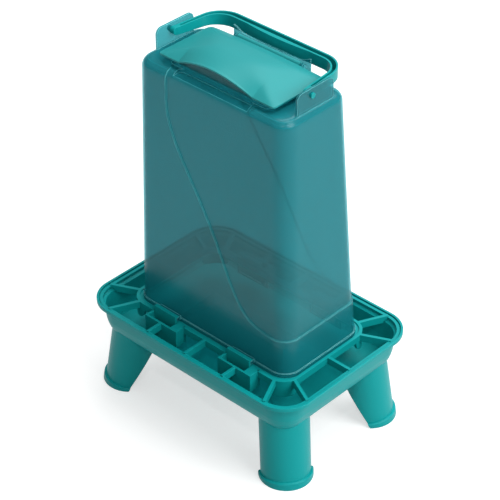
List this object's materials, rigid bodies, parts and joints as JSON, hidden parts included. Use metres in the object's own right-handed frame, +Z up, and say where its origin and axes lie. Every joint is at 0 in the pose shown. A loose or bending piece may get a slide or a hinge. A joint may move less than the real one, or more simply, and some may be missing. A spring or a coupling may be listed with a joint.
{
  "type": "poultry feeder",
  "caption": "Gravity poultry feeder: a see-through hopper with a hinged lid and bail handle, clipped to a feed saver grid in a pan on splayed legs.",
  "frame": {"origin": "on the ground, under the middle of the pan", "axes": "+Z up, +X along the pan's long side, +Y towards the lid's hinge and the resting handle; the front is the -Y side"},
  "size_m": [0.4, 0.276, 0.5856],
  "materials": {
    "teal_plastic": "satin",
    "clear_teal_plastic": "satin"
  },
  "bodies": {
    "pan": {"tray_pan": "teal_plastic", "leg_front_right": "teal_plastic", "leg_front_left": "teal_plastic", "leg_rear_right": "teal_plastic", "leg_rear_left": "teal_plastic"},
    "feed_head": {"feed_grid": "teal_plastic", "hopper": "clear_teal_plastic"},
    "lid": {"lid": "teal_plastic"},
    "handle": {"carry_handle": "teal_plastic"}
  },
  "joints": [
    {"name": "feed_head_lift", "type": "slide", "parent": "pan", "child": "feed_head", "axis": [0, 0, 1], "range_m": [0, 0.06]},
    {"name": "lid_hinge", "type": "hinge", "parent": "feed_head", "child": "lid", "pos_m": [0, 0.041, 0.5665], "axis": [-1, 0, 0], "range_deg": [0, 85]},
    {"name": "handle_pivot", "type": "hinge", "parent": "feed_head", "child": "handle", "pos_m": [0, -0.017, 0.5745], "axis": [1, 0, 0], "range_deg": [0, 180]}
  ]
}
